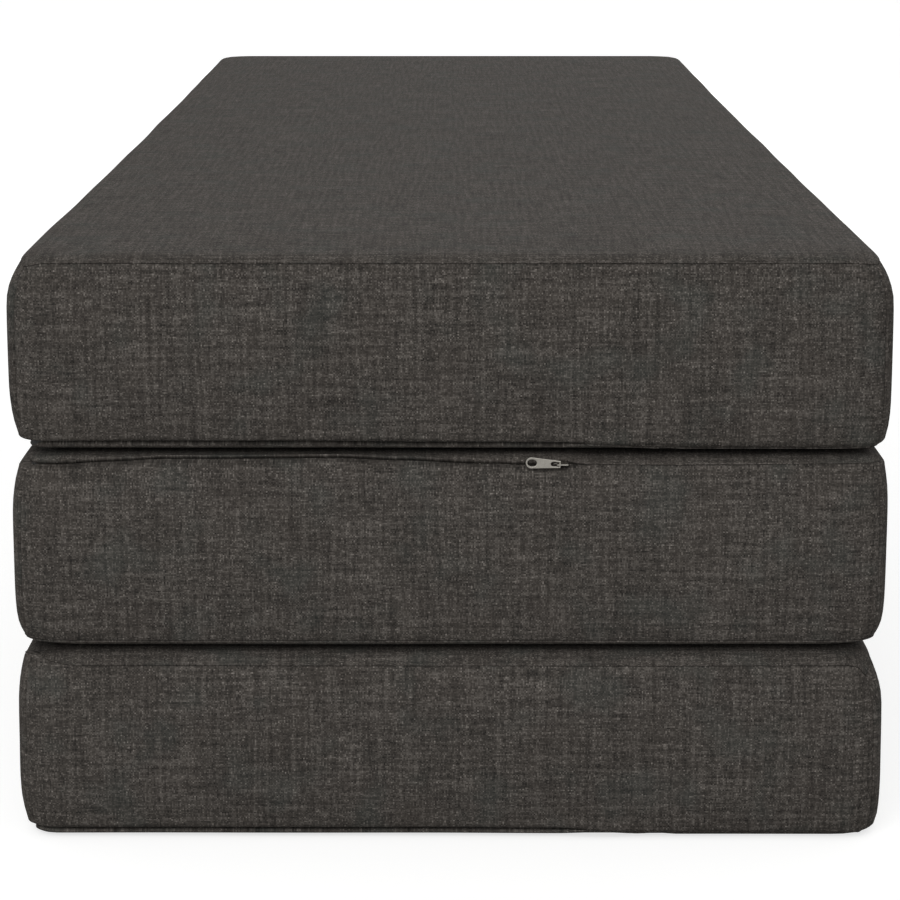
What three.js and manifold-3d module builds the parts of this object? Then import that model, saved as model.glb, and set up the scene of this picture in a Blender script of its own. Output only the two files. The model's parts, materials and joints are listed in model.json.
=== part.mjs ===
// Three-panel folding sofa bed, folded into a stack.
// Three zipped foam panels lie on each other in a Z. Cloth hinge strips join them: one on the
// left, between the lower two sleeping sides, and one on the right, between the upper two
// undersides. Unfolded, the panels lie side by side with their sleeping sides up.
//
// Millimetres, +X right, +Y towards the rear end, +Z up. The origin is on the floor under the
// middle of the stack.

import * as THREE from "three";
import { mergeVertices } from "three/addons/utils/BufferGeometryUtils.js";
import Module from "manifold-3d";

const wasm = await Module();
wasm.setup();

// Panel
const PANEL_WIDTH = 660; // left to right, at the seams
const PANEL_LENGTH = 2000; // front end to rear end, at the seams
const PANEL_THICKNESS = 152; // underside to sleeping side, at the middle
const CORNER_RADIUS = 16; // seen from above
const CORE_CORNER_RADIUS = 4; // the same, well inside the edge
const CROWN = 2; // how far a face rises from its edge to its flat middle
const CROWN_REACH = 120; // how far in from the edge that rise goes
const BULGE = 4; // how far a side wall swells past its seams
const SIDE_DRAW_IN = 3; // how far a long side pulls in between its corners
const STACK_GAP = 0.4;

// Cover
const CLOTH = 1.2; // woven cloth with its quilted backing
const SEAM_GAP = 0.3;
const EDGE_ROLL = 10; // radius that the sleeping side turns over before its seam
const UNDER_ROLL = 4.6; // radius of the rolled edge round the underside
const UNDER_RECESS = 8.5; // how far that roll sits back from the seams
const ZIP_GROOVE = 1.6; // slot between the roll and the wall's hem, where the zip opens
const HEM_TUCK = 8; // how far the hem's edge tucks in
const HEM_REACH = 6; // how far out of that tuck the hem turns
const HEM_HEIGHT = 5;
const HEM_EASE_SHARE = 0.3; // share of the wall's height over which the hem meets the bulge

// Foam
const FOAM_EASE = 0.6; // between foam and cloth
const LAYER_GAP = 0.3;
const COMFORT_LAYER = 40;
const FOAM_CHAMFER = 14; // eased lower edge that leaves room for the zip tapes
const FOAM_EASE_TOP = 12; // how far above the tapes the foam comes back out to the wall

// Zip
const ZIP_OVERRUN = 95; // how far each end of the zip runs past the panel's centreline
const CHAIN_WIDTH = 5;
const CHAIN_THICKNESS = 1.8;
const CHAIN_DEPTH = 13.3; // from the seam line in to the chain's outer face
const TAPE_THICKNESS = 0.6;
const WALL_TAPE_WIDTH = 13;
const UNDER_TAPE_WIDTH = 3.6;
const ZIP_CLEARANCE = 0.3;
const STOP_LENGTH = 3;
const STOP_WIDTH = 6.4;
const STOP_THICKNESS = 2.6;

// Slider and pull
const SLIDER_SETBACK = 12.3; // zip end to the pull's axis
const SLIDER_PLATE_HALF_WIDTH = 3;
const SLIDER_PLATE_THICKNESS = 1.7;
const SLIDER_NOSE = 7.5; // plate, from the pull's axis towards the zip's end
const SLIDER_TAIL = 4.5; // plate, from the pull's axis the other way
const BRIDGE_THICKNESS = 1;
const BRIDGE_NOSE = 6.4;
const BRIDGE_TAIL = 2.2;
const BRIDGE_CROWN = 1; // metal over the pull's pin
const BRIDGE_SOFTENING = 0.6;
const PULL_LIFT = 1.3; // from the seam line in to the pull's axis
const PULL_LENGTH = 25.8; // axis to far end
const PULL_THICKNESS = 1;
const PULL_HALF_WIDTH = 4.25;
const PULL_NECK_HALF_WIDTH = 2.7;
const PULL_EYE_LENGTH = 6.4;
const PULL_EYE_HALF_WIDTH = 1.7;
const PULL_SLOT_START = 17.2; // axis to the near end of the large hole
const PULL_SLOT_END = 24.4;
const PULL_SLOT_HALF_WIDTH = 2.5;
const PULL_TILT_DEG = 2.6;
const PIN_SIZE = 1; // the pull's end bar, which turns in the bridge's window
const PIN_PLAY = 0.35;

// Cloth hinges
const HINGE_CLEARANCE = 0.4; // between a panel's widest line and the fold axis
const STRIP_THICKNESS = 1.2;
const STRIP_SEAT = 0.4; // from the strip to the cover that it is sewn to
const STRIP_LAP = 3; // how far it runs in over the flat past the edge roll
const STRIP_END_GAP = 0.2;

// How finely curves are cut
const ARC_STEPS = 2; // half a corner, seen from above
const RUN_STEPS = 4; // a straight run between corners
const ROLL_STEPS = 3;
const HEM_STEPS = 2;
const CURVE_STEPS = 5;
const WALL_STEP_SHARES = [0.22, 0.48, 0.76, 1];
const CROWN_STEP_SHARES = [0.4, 1];

// Worked out from the sizes above
const HALF_WIDTH = PANEL_WIDTH / 2;
const HALF_LENGTH = PANEL_LENGTH / 2;
const SLEEP_SEAM_Z = PANEL_THICKNESS - CROWN - EDGE_ROLL;
const UNDER_EDGE_Z = CROWN + UNDER_ROLL;
const HEM_Z = UNDER_EDGE_Z + ZIP_GROOVE;
const HEM_TOP_Z = HEM_Z + HEM_HEIGHT;
const ZIP_Z = UNDER_EDGE_Z + ZIP_GROOVE / 2;
const WALL_TAPE_TOP_Z = ZIP_Z + WALL_TAPE_WIDTH;
const CHAIN_BACK = CHAIN_DEPTH + CHAIN_THICKNESS;
const TAPE_FACE = CHAIN_BACK + ZIP_CLEARANCE;
const TAPE_BACK = TAPE_FACE + TAPE_THICKNESS;
const LAYER_Z = PANEL_THICKNESS - COMFORT_LAYER;
const PITCH = PANEL_THICKNESS + STACK_GAP;
const FOLD_X = HALF_WIDTH + BULGE + HINGE_CLEARANCE;

// Materials
const cloth = () => new THREE.MeshStandardMaterial({ color: 0x46423f, roughness: 0.95, metalness: 0 });
const baseFoam = () => new THREE.MeshStandardMaterial({ color: 0xe8e1cc, roughness: 0.9, metalness: 0 });
const softFoam = () => new THREE.MeshStandardMaterial({ color: 0xd8e2e6, roughness: 0.9, metalness: 0 });
const tape = () => new THREE.MeshStandardMaterial({ color: 0x2c2a28, roughness: 0.85, metalness: 0 });
const coil = () => new THREE.MeshStandardMaterial({ color: 0x22201f, roughness: 0.5, metalness: 0 });
const nickel = () => new THREE.MeshStandardMaterial({ color: 0xb0aca6, roughness: 0.35, metalness: 1 });

// One side of a panel's outline, seen from above, anticlockwise from the middle of one corner to
// the middle of the next. offset moves it out from the seam line, or in where it is negative.
function wallRun(side, offset) {
  const radius = Math.max(CORNER_RADIUS + offset, CORE_CORNER_RADIUS);
  const endWall = side === "front" || side === "rear";
  const reach = (endWall ? HALF_LENGTH : HALF_WIDTH) + offset;
  const half = (endWall ? HALF_WIDTH : HALF_LENGTH) + offset - radius;
  const drawIn = endWall ? 0 : SIDE_DRAW_IN;
  const along = [];
  for (let i = ARC_STEPS; i > 0; i--) {
    const turn = (i / ARC_STEPS) * (Math.PI / 4);
    along.push([-half - radius * Math.sin(turn), reach - radius * (1 - Math.cos(turn))]);
  }
  for (let i = 0; i <= RUN_STEPS; i++) {
    const share = i / RUN_STEPS;
    along.push([half * (2 * share - 1), reach - drawIn * Math.sin(Math.PI * share)]);
  }
  for (let i = 1; i <= ARC_STEPS; i++) {
    const turn = (i / ARC_STEPS) * (Math.PI / 4);
    along.push([half + radius * Math.sin(turn), reach - radius * (1 - Math.cos(turn))]);
  }
  const place = {
    front: ([s, out]) => [s, -out],
    right: ([s, out]) => [out, s],
    rear: ([s, out]) => [-s, out],
    left: ([s, out]) => [-out, -s],
  }[side];
  return along.map(place);
}

// The whole outline, anticlockwise from the front left corner
function outline(offset) {
  return ["front", "right", "rear", "left"].flatMap((side) => wallRun(side, offset).slice(0, -1));
}

// One wall whose two ends stop short of the corner seams
function wallBetweenSeams(side, offset) {
  const run = wallRun(side, offset);
  const shortened = (end, next) => {
    const share = SEAM_GAP / 2 / Math.hypot(next[0] - end[0], next[1] - end[1]);
    return [end[0] + (next[0] - end[0]) * share, end[1] + (next[1] - end[1]) * share];
  };
  const last = run.length - 1;
  return [shortened(run[0], run[1]), ...run.slice(1, last), shortened(run[last], run[last - 1])];
}

// The zip's route, anticlockwise: along one end, round the zip side and along the other end
function zipRun(zipSide, offset) {
  const route = zipSide > 0 ? ["front", "right", "rear"] : ["rear", "left", "front"];
  const points = route.flatMap((side, i) => wallRun(side, offset).slice(i === 0 ? 0 : 1));
  const kept = points.filter(([x]) => zipSide * x > -ZIP_OVERRUN);
  const end = (y) => [-zipSide * ZIP_OVERRUN, y];
  return [end(kept[0][1]), ...kept, end(kept[kept.length - 1][1])];
}

// How far the side wall stands out from the seam line at a height
function wallOffset(z) {
  const share = (z - HEM_TOP_Z) / (SLEEP_SEAM_Z - HEM_TOP_Z);
  const hem = share < HEM_EASE_SHARE ? (HEM_TUCK - HEM_REACH) * (1 - share / HEM_EASE_SHARE) ** 2 : 0;
  return BULGE * Math.sin(Math.PI * Math.max(share, 0)) - hem;
}

// The cover's section, as [offset, height] points that run from the middle of the underside,
// out and up the wall, and back in over the sleeping side
function undersideProfile() {
  const centre = -UNDER_RECESS - UNDER_ROLL;
  const points = [[centre - CROWN_REACH, 0]];
  for (let i = 0; i <= ROLL_STEPS; i++) {
    const turn = (i / ROLL_STEPS) * (Math.PI / 2);
    points.push([centre + UNDER_ROLL * Math.sin(turn), UNDER_EDGE_Z - UNDER_ROLL * Math.cos(turn)]);
  }
  return points;
}

function wallProfile() {
  const points = [];
  for (let i = 0; i < HEM_STEPS; i++) {
    const turn = (i / HEM_STEPS) * (Math.PI / 2);
    points.push([-HEM_TUCK + HEM_REACH * Math.sin(turn), HEM_Z + HEM_HEIGHT * (1 - Math.cos(turn))]);
  }
  const top = SLEEP_SEAM_Z - SEAM_GAP;
  for (const share of [0, ...WALL_STEP_SHARES]) {
    const z = HEM_TOP_Z + (top - HEM_TOP_Z) * share;
    points.push([wallOffset(z), z]);
  }
  return points;
}

function sleepProfile() {
  const points = [];
  for (let i = 0; i <= ROLL_STEPS; i++) {
    const turn = (i / ROLL_STEPS) * (Math.PI / 2);
    points.push([-EDGE_ROLL + EDGE_ROLL * Math.cos(turn), SLEEP_SEAM_Z + EDGE_ROLL * Math.sin(turn)]);
  }
  for (const share of CROWN_STEP_SHARES) {
    const rise = CROWN * (1 - (1 - share) ** 2);
    points.push([-EDGE_ROLL - CROWN_REACH * share, PANEL_THICKNESS - CROWN + rise]);
  }
  return points;
}

// A profile moved towards the foam. start and end are the ways that it runs at its two ends.
const OUTWARDS = [1, 0];
const UPWARDS = [0, 1];
const BACK_IN = [-1, 0];

function inwards(profile, distance, start, end) {
  return profile.map(([offset, z], i) => {
    const before = profile[Math.max(i - 1, 0)];
    const after = profile[Math.min(i + 1, profile.length - 1)];
    let way = [after[0] - before[0], after[1] - before[1]];
    if (i === 0) way = start;
    if (i === profile.length - 1) way = end;
    const length = Math.hypot(...way);
    return [offset - (distance * way[1]) / length, z + (distance * way[0]) / length];
  });
}

const ringsOf = (profile, run) => profile.map(([offset, z]) => run(offset).map(([x, y]) => [x, y, z]));

// Faces, gathered as loose triangles
const quad = (faces, a, b, c, d) => faces.push(a, b, c, a, c, d);

function addSkin(faces, rings, joined, flipped) {
  for (let i = 0; i + 1 < rings.length; i++) {
    const count = rings[i].length;
    for (let k = 0; k < (joined ? count : count - 1); k++) {
      const n = (k + 1) % count;
      const corners = [rings[i][k], rings[i][n], rings[i + 1][n], rings[i + 1][k]];
      if (flipped) corners.reverse();
      quad(faces, ...corners);
    }
  }
}

function addCap(faces, ring, facesUp) {
  const centre = [0, 0, ring[0][2]];
  ring.forEach((point, k) => {
    const next = ring[(k + 1) % ring.length];
    if (facesUp) faces.push(point, next, centre);
    else faces.push(next, point, centre);
  });
}

function geometryOf(faces) {
  const geometry = new THREE.BufferGeometry();
  geometry.setAttribute("position", new THREE.Float32BufferAttribute(faces.flat(), 3));
  geometry.computeVertexNormals();
  return geometry;
}

// A strip of cloth between an outer and an inner skin, open at both ends of its run
function stripGeometry(outer, inner) {
  const faces = [];
  const top = outer.length - 1;
  const end = outer[0].length - 1;
  addSkin(faces, outer, false, false);
  addSkin(faces, inner, false, true);
  addSkin(faces, [inner[0], outer[0]], false, false);
  addSkin(faces, [outer[top], inner[top]], false, false);
  for (let i = 0; i < top; i++) {
    quad(faces, outer[i][0], outer[i + 1][0], inner[i + 1][0], inner[i][0]);
    quad(faces, inner[i][end], inner[i + 1][end], outer[i + 1][end], outer[i][end]);
  }
  return geometryOf(faces);
}

// A cover face: cloth with a closed rim on one side and a flat middle on the other
function faceGeometry(outer, inner, middleIsLast) {
  const faces = [];
  const middle = middleIsLast ? outer.length - 1 : 0;
  const rim = middleIsLast ? 0 : outer.length - 1;
  addSkin(faces, outer, true, false);
  addSkin(faces, inner, true, true);
  const edge = middleIsLast ? [inner[rim], outer[rim]] : [outer[rim], inner[rim]];
  addSkin(faces, edge, true, false);
  addCap(faces, outer[middle], middleIsLast);
  addCap(faces, inner[middle], !middleIsLast);
  return geometryOf(faces);
}

// A filled stack of rings
function blockGeometry(rings) {
  const faces = [];
  addSkin(faces, rings, true, false);
  addCap(faces, rings[0], false);
  addCap(faces, rings[rings.length - 1], true);
  return geometryOf(faces);
}

function mesh(name, geometry, material) {
  const made = new THREE.Mesh(geometry, material);
  made.name = name;
  return made;
}

// Two solids joined into one
function joined(first, second) {
  const solids = [first, second].map((geometry) => {
    const bare = geometry.clone();
    bare.deleteAttribute("normal");
    bare.deleteAttribute("uv");
    const merged = mergeVertices(bare);
    return new wasm.Manifold(
      new wasm.Mesh({
        numProp: 3,
        vertProperties: merged.attributes.position.array,
        triVerts: new Uint32Array(merged.index.array),
      }),
    );
  });
  const result = solids[0].add(solids[1]).getMesh();
  const geometry = new THREE.BufferGeometry();
  geometry.setAttribute("position", new THREE.BufferAttribute(result.vertProperties, 3));
  geometry.setIndex(new THREE.BufferAttribute(result.triVerts, 1));
  geometry.computeVertexNormals();
  return geometry;
}

// Cover

function sleepCover(name) {
  const profile = sleepProfile();
  const outer = ringsOf(profile, outline);
  const inner = ringsOf(inwards(profile, CLOTH, UPWARDS, BACK_IN), outline);
  return mesh(name, faceGeometry(outer, inner, true), cloth());
}

function undersideCover(name) {
  const profile = undersideProfile();
  const outer = ringsOf(profile, outline);
  const inner = ringsOf(inwards(profile, CLOTH, OUTWARDS, UPWARDS), outline);
  return mesh(name, faceGeometry(outer, inner, false), cloth());
}

function boxing(name, side) {
  const profile = wallProfile();
  const run = (offset) => wallBetweenSeams(side, offset);
  const outer = ringsOf(profile, run);
  const inner = ringsOf(inwards(profile, CLOTH, OUTWARDS, UPWARDS), run);
  return mesh(name, stripGeometry(outer, inner), cloth());
}

// Foam

function baseFoamLayer(name) {
  const inset = CLOTH + FOAM_EASE;
  const tapeInset = -TAPE_BACK - FOAM_EASE;
  const chamferTop = inset + CROWN + FOAM_CHAMFER;
  const easeTop = WALL_TAPE_TOP_Z + FOAM_EASE_TOP;
  const top = LAYER_Z - LAYER_GAP;
  const middle = (easeTop + top) / 2;
  const profile = [
    [-UNDER_RECESS - UNDER_ROLL - CROWN_REACH, inset],
    [tapeInset - FOAM_CHAMFER, inset + CROWN],
    [tapeInset, chamferTop],
    [tapeInset, WALL_TAPE_TOP_Z],
    [wallOffset(easeTop) - inset, easeTop],
    [wallOffset(middle) - inset, middle],
    [wallOffset(top) - inset, top],
  ];
  return mesh(name, blockGeometry(ringsOf(profile, outline)), baseFoam());
}

function comfortFoamLayer(name) {
  const inset = CLOTH + FOAM_EASE;
  const profile = [[wallOffset(LAYER_Z) - inset, LAYER_Z], ...inwards(sleepProfile(), inset, UPWARDS, BACK_IN)];
  return mesh(name, blockGeometry(ringsOf(profile, outline)), softFoam());
}

// Zip

function zipStrip(name, zipSide, face, back, bottom, top, material) {
  const layer = (offset) => [bottom, top].map((z) => zipRun(zipSide, offset).map(([x, y]) => [x, y, z]));
  return mesh(name, stripGeometry(layer(-face), layer(-back)), material);
}

function zipStop(name, zipSide, endSign) {
  const geometry = new THREE.BoxGeometry(STOP_LENGTH, STOP_THICKNESS, STOP_WIDTH);
  const stop = mesh(name, geometry, nickel());
  const depth = HALF_LENGTH - CHAIN_DEPTH - STOP_THICKNESS / 2;
  const x = -zipSide * (ZIP_OVERRUN + ZIP_CLEARANCE + STOP_LENGTH / 2);
  stop.position.set(x, endSign * depth, ZIP_Z);
  return stop;
}

// The slider about the pull's axis, with the zip's end towards +X and the outside towards -Y
function sliderGeometry() {
  const plate = new THREE.Shape();
  const softened = SLIDER_PLATE_HALF_WIDTH / 2;
  plate.moveTo(-SLIDER_TAIL, -SLIDER_PLATE_HALF_WIDTH + softened);
  plate.quadraticCurveTo(-SLIDER_TAIL, -SLIDER_PLATE_HALF_WIDTH, -SLIDER_TAIL + softened, -SLIDER_PLATE_HALF_WIDTH);
  plate.lineTo(SLIDER_NOSE - softened, -SLIDER_PLATE_HALF_WIDTH);
  plate.quadraticCurveTo(SLIDER_NOSE, -SLIDER_PLATE_HALF_WIDTH, SLIDER_NOSE, -SLIDER_PLATE_HALF_WIDTH + softened);
  plate.lineTo(SLIDER_NOSE, SLIDER_PLATE_HALF_WIDTH - softened);
  plate.quadraticCurveTo(SLIDER_NOSE, SLIDER_PLATE_HALF_WIDTH, SLIDER_NOSE - softened, SLIDER_PLATE_HALF_WIDTH);
  plate.lineTo(-SLIDER_TAIL + softened, SLIDER_PLATE_HALF_WIDTH);
  plate.quadraticCurveTo(-SLIDER_TAIL, SLIDER_PLATE_HALF_WIDTH, -SLIDER_TAIL, SLIDER_PLATE_HALF_WIDTH - softened);
  const plateDepth = CHAIN_DEPTH - ZIP_CLEARANCE - PULL_LIFT;
  const plateBody = new THREE.ExtrudeGeometry(plate, {
    depth: SLIDER_PLATE_THICKNESS,
    bevelEnabled: false,
    curveSegments: CURVE_STEPS,
  });
  plateBody.rotateX(Math.PI / 2);
  plateBody.translate(0, plateDepth, 0);

  const window = PIN_SIZE / 2 + PIN_PLAY;
  const crown = -window - BRIDGE_CROWN;
  const foot = plateDepth - SLIDER_PLATE_THICKNESS / 2;
  const bridge = new THREE.Shape();
  bridge.moveTo(-BRIDGE_TAIL, foot);
  bridge.lineTo(-BRIDGE_TAIL, crown + BRIDGE_SOFTENING);
  bridge.quadraticCurveTo(-BRIDGE_TAIL, crown, -BRIDGE_TAIL + BRIDGE_SOFTENING, crown);
  bridge.lineTo(BRIDGE_NOSE - BRIDGE_SOFTENING, crown);
  bridge.quadraticCurveTo(BRIDGE_NOSE, crown, BRIDGE_NOSE, crown + BRIDGE_SOFTENING);
  bridge.lineTo(BRIDGE_NOSE, foot);
  const opening = new THREE.Path();
  opening.moveTo(-window, -window);
  opening.lineTo(window, -window);
  opening.lineTo(window, window);
  opening.lineTo(-window, window);
  bridge.holes.push(opening);
  const bridgeBody = new THREE.ExtrudeGeometry(bridge, {
    depth: BRIDGE_THICKNESS,
    bevelEnabled: false,
    curveSegments: CURVE_STEPS,
  });
  bridgeBody.translate(0, 0, -BRIDGE_THICKNESS / 2);
  return joined(plateBody, bridgeBody);
}

// The pull about its axis, lying towards -X
function pullGeometry() {
  const heel = PIN_SIZE / 2;
  const shoulder = PULL_LENGTH - PULL_HALF_WIDTH / 2;
  const plate = new THREE.Shape();
  plate.moveTo(-heel, -PULL_NECK_HALF_WIDTH);
  plate.lineTo(shoulder, -PULL_HALF_WIDTH);
  plate.quadraticCurveTo(PULL_LENGTH, -PULL_HALF_WIDTH, PULL_LENGTH, -PULL_HALF_WIDTH / 2);
  plate.lineTo(PULL_LENGTH, PULL_HALF_WIDTH / 2);
  plate.quadraticCurveTo(PULL_LENGTH, PULL_HALF_WIDTH, shoulder, PULL_HALF_WIDTH);
  plate.lineTo(-heel, PULL_NECK_HALF_WIDTH);
  const eyeEnd = heel + PULL_EYE_LENGTH;
  const eye = new THREE.Path();
  eye.moveTo(heel, -PULL_EYE_HALF_WIDTH);
  eye.lineTo(eyeEnd - PULL_EYE_HALF_WIDTH, -PULL_EYE_HALF_WIDTH);
  eye.quadraticCurveTo(eyeEnd, -PULL_EYE_HALF_WIDTH, eyeEnd, 0);
  eye.quadraticCurveTo(eyeEnd, PULL_EYE_HALF_WIDTH, eyeEnd - PULL_EYE_HALF_WIDTH, PULL_EYE_HALF_WIDTH);
  eye.lineTo(heel, PULL_EYE_HALF_WIDTH);
  const slot = new THREE.Path();
  slot.absellipse(
    (PULL_SLOT_START + PULL_SLOT_END) / 2,
    0,
    (PULL_SLOT_END - PULL_SLOT_START) / 2,
    PULL_SLOT_HALF_WIDTH,
    0,
    2 * Math.PI,
  );
  plate.holes.push(eye, slot);
  const geometry = new THREE.ExtrudeGeometry(plate, {
    depth: PULL_THICKNESS,
    bevelEnabled: false,
    curveSegments: CURVE_STEPS,
  });
  geometry.translate(0, 0, -PULL_THICKNESS / 2);
  geometry.rotateZ(Math.PI - THREE.MathUtils.degToRad(PULL_TILT_DEG));
  geometry.rotateX(Math.PI / 2);
  return geometry;
}

function sliderAndPull(panel, zipSide, endSign) {
  const group = new THREE.Group();
  group.add(mesh(`${panel}_zip_slider`, sliderGeometry(), nickel()));
  group.add(mesh(`${panel}_zip_pull`, pullGeometry(), nickel()));
  if (endSign > 0) group.rotation.x = Math.PI;
  if (zipSide > 0) group.rotation.y = Math.PI;
  const x = -zipSide * (ZIP_OVERRUN - SLIDER_SETBACK);
  group.position.set(x, endSign * (HALF_LENGTH - PULL_LIFT), ZIP_Z);
  return group;
}

// Cloth hinges

// Half of a hinge strip, from its seam on the panel to the fold axis, at a height range
function hingeStrip(name, xSide, inner, bottom) {
  const side = xSide > 0 ? "right" : "left";
  const straight = wallRun(side, inner).slice(ARC_STEPS, -ARC_STEPS);
  const edge = straight.map(([, y]) => [xSide * (FOLD_X - STRIP_END_GAP), y]);
  const layer = (run) => [bottom, bottom + STRIP_THICKNESS].map((z) => run.map(([x, y]) => [x, y, z]));
  return mesh(name, stripGeometry(layer(edge), layer(straight)), cloth());
}

function sleepHingeStrip(name, xSide) {
  const bottom = PANEL_THICKNESS - CROWN + STRIP_SEAT;
  return hingeStrip(name, xSide, -EDGE_ROLL - STRIP_LAP, bottom);
}

function underHingeStrip(name, xSide) {
  const bottom = CROWN - STRIP_SEAT - STRIP_THICKNESS;
  return hingeStrip(name, xSide, -UNDER_RECESS - UNDER_ROLL - STRIP_LAP, bottom);
}

// One zipped foam panel, sleeping side up, with its underside at height 0. walls gives the name
// of each wall as it stands in the folded stack.
function panelGroup(panel, { zipSide, sliderEnd, walls }) {
  const group = new THREE.Group();
  group.add(baseFoamLayer(`${panel}_base_foam`));
  group.add(comfortFoamLayer(`${panel}_comfort_foam`));
  group.add(undersideCover(`${panel}_underside_cover`));
  group.add(sleepCover(`${panel}_sleeping_cover`));
  for (const [side, name] of Object.entries(walls)) group.add(boxing(`${panel}_${name}_boxing`, side));
  const halfChain = CHAIN_WIDTH / 2;
  const halfSplit = ZIP_CLEARANCE / 2;
  group.add(
    zipStrip(
      `${panel}_zip_chain`, zipSide, CHAIN_DEPTH, CHAIN_BACK, ZIP_Z - halfChain, ZIP_Z + halfChain, coil(),
    ),
    zipStrip(
      `${panel}_zip_wall_tape`, zipSide, TAPE_FACE, TAPE_BACK, ZIP_Z + halfSplit, WALL_TAPE_TOP_Z, tape(),
    ),
    zipStrip(
      `${panel}_zip_underside_tape`, zipSide, TAPE_FACE, TAPE_BACK, ZIP_Z - UNDER_TAPE_WIDTH,
      ZIP_Z - halfSplit, tape(),
    ),
  );
  group.add(zipStop(`${panel}_zip_front_stop`, zipSide, -1));
  group.add(zipStop(`${panel}_zip_rear_stop`, zipSide, 1));
  group.add(sliderAndPull(panel, zipSide, sliderEnd));
  return group;
}

const UPRIGHT_WALLS = { front: "front", right: "right", rear: "rear", left: "left" };
const TURNED_WALLS = { front: "front", right: "left", rear: "rear", left: "right" };

// The folded stack
const sofaBed = new THREE.Group();

const bottomPanel = panelGroup("bottom", { zipSide: -1, sliderEnd: 1, walls: UPRIGHT_WALLS });
bottomPanel.add(sleepHingeStrip("bottom_left_hinge_strip", -1));
sofaBed.add(bottomPanel);

// The middle panel lies with its sleeping side down, so its own right side is on the left
const middlePanel = panelGroup("middle", { zipSide: 1, sliderEnd: -1, walls: TURNED_WALLS });
middlePanel.add(sleepHingeStrip("middle_left_hinge_strip", 1));
middlePanel.add(underHingeStrip("middle_right_hinge_strip", -1));
middlePanel.rotation.y = Math.PI;
middlePanel.position.z = PITCH + PANEL_THICKNESS;
sofaBed.add(middlePanel);

const topPanel = panelGroup("top", { zipSide: -1, sliderEnd: 1, walls: UPRIGHT_WALLS });
topPanel.add(underHingeStrip("top_right_hinge_strip", 1));
topPanel.position.z = 2 * PITCH;
sofaBed.add(topPanel);

export default sofaBed;
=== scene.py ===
import json
import math

import bmesh
import bpy
from mathutils import Matrix, Vector, noise
from mathutils.bvhtree import BVHTree
from mathutils.interpolate import poly_3d_calc


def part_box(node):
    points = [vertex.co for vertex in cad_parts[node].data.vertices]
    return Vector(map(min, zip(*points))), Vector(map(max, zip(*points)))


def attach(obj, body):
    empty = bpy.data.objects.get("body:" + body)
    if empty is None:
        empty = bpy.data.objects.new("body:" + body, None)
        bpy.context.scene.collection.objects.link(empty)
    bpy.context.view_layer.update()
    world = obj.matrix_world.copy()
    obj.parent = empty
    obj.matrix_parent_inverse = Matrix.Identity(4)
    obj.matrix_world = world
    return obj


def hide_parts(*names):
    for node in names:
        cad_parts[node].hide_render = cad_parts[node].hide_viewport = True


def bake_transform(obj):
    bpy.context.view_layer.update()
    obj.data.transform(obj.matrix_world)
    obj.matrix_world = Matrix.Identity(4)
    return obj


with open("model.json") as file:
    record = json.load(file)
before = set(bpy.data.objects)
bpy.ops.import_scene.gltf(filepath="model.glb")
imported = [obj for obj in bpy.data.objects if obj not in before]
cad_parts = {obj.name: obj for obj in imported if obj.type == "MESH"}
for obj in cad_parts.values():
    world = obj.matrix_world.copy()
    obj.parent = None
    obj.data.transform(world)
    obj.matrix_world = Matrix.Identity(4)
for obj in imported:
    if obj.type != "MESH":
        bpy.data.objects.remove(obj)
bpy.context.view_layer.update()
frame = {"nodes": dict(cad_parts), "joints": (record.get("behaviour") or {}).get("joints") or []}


# Camera. It looks square on at the short front end from a little above, as in the photograph.
# The photograph keeps its uprights parallel; a plain tilt stands in for that, so that every
# other view keeps the whole object in the frame.
EYE_DISTANCE = 3.121
EYE_HEIGHT = 0.760
TILT_DEG = 12.02
LENS_MM = 115.6

camera_data = bpy.data.cameras.new("camera")
camera_data.lens = LENS_MM
camera = bpy.data.objects.new("camera", camera_data)
camera.location = (0, -EYE_DISTANCE, EYE_HEIGHT)
camera.rotation_euler = (math.radians(90 - TILT_DEG), 0, 0)
bpy.context.collection.objects.link(camera)
bpy.context.scene.camera = camera
bpy.context.scene.view_settings.view_transform = "Standard"


# Studio. A matt white floor under a pale even sky, one wide soft lamp high in front and a weaker
# one high behind, so the faces read evenly and the folds keep their shade.
def linear(code, share=1):
    """An sRGB hex colour, or a darker share of it, as linear red, green, blue and alpha."""
    levels = [int(code[i : i + 2], 16) / 255 for i in (1, 3, 5)]
    light = [s / 12.92 if s <= 0.04045 else ((s + 0.055) / 1.055) ** 2.4 for s in levels]
    return (*(share * s for s in light), 1)


def feed(material, node, inputs):
    """Gives a node's sockets, each by its name or number, a value or another node's output."""
    for socket, value in dict(inputs).items():
        if isinstance(value, bpy.types.NodeSocket):
            material.node_tree.links.new(value, node.inputs[socket])
        else:
            node.inputs[socket].default_value = value


def add_node(material, kind, inputs=(), **settings):
    """Adds one node with its settings, and feeds its sockets."""
    node = material.node_tree.nodes.new(kind)
    for name, value in settings.items():
        setattr(node, name, value)
    feed(material, node, inputs)
    return node


def new_material(name):
    """A new material and its shader."""
    material = bpy.data.materials.new(name)
    material.use_nodes = True
    return material, material.node_tree.nodes["Principled BSDF"]


def new_object(form, name, material):
    """Makes a form an object of one material."""
    mesh = bpy.data.meshes.new(name)
    form.to_mesh(mesh)
    form.free()
    mesh.materials.append(material)
    made = bpy.data.objects.new(name, mesh)
    bpy.context.collection.objects.link(made)
    return made


FLOOR_SIZE = 120
FLOOR_WHITE = "#b8b8b7"
LAMP_SIZE = 4.6
FRONT_WATTS = 216
REAR_WATTS = 49
SKY_STRENGTH = 0.56
PAPER_WHITE = 1.0  # how bright the background shows
FLOOR_GLOW = 0.68  # what the camera sees beyond the floor's own light, so that it meets the sky

world = bpy.data.worlds.new("pale_sky")
world.use_nodes = True
world.node_tree.nodes.clear()
seen = add_node(world, "ShaderNodeLightPath")
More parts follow.
